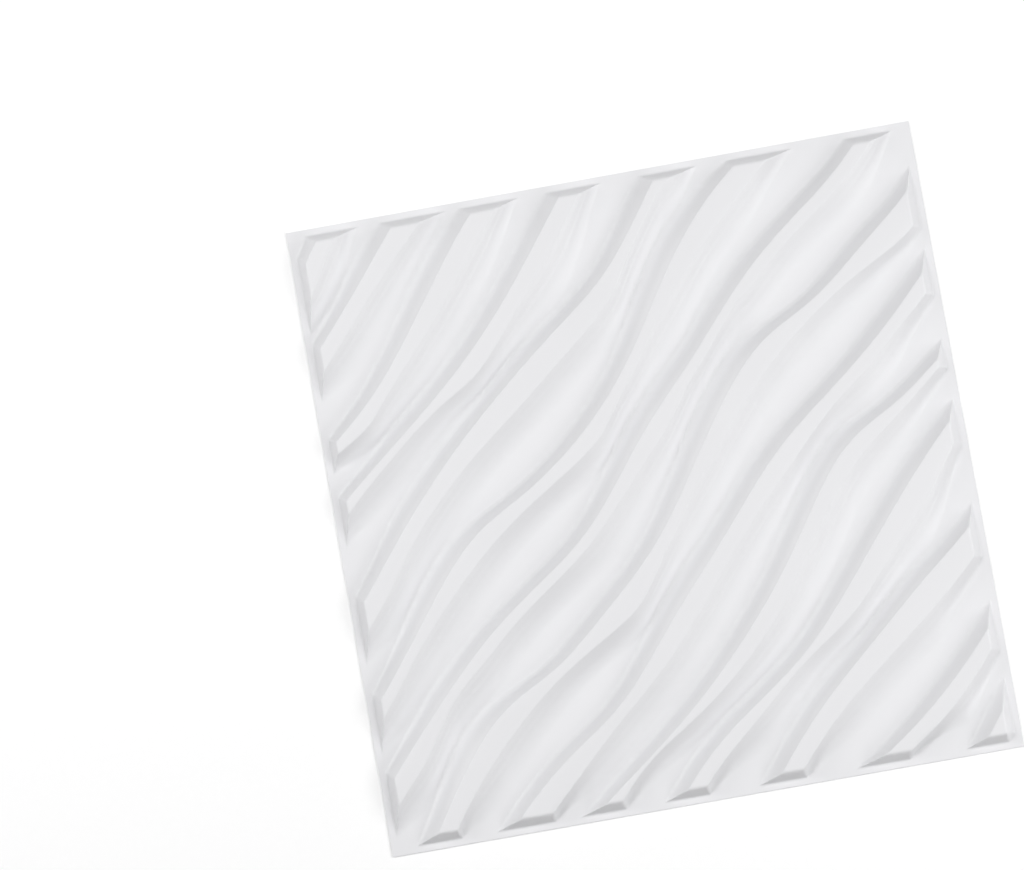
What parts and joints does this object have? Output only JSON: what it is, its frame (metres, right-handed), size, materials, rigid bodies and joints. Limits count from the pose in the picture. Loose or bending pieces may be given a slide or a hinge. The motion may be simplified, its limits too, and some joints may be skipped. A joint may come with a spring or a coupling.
{
  "type": "wall panel tile",
  "caption": "Square thermoformed PVC wall tile with a diagonal wave relief of flat-topped ribbons, a flat lip that butts against its neighbours and a hollow back for adhesive fixing.",
  "frame": {"origin": "middle of the back plane, where the tile meets the wall or floor", "axes": "+Z out of the relief face, +X to the right and +Y up the face as the waves climb from lower left to upper right"},
  "size_m": [0.5, 0.5, 0.011],
  "materials": {
    "pvc_sheet": "satin white"
  },
  "bodies": {
    "root": {"wall_panel": "pvc_sheet"}
  },
  "joints": []
}
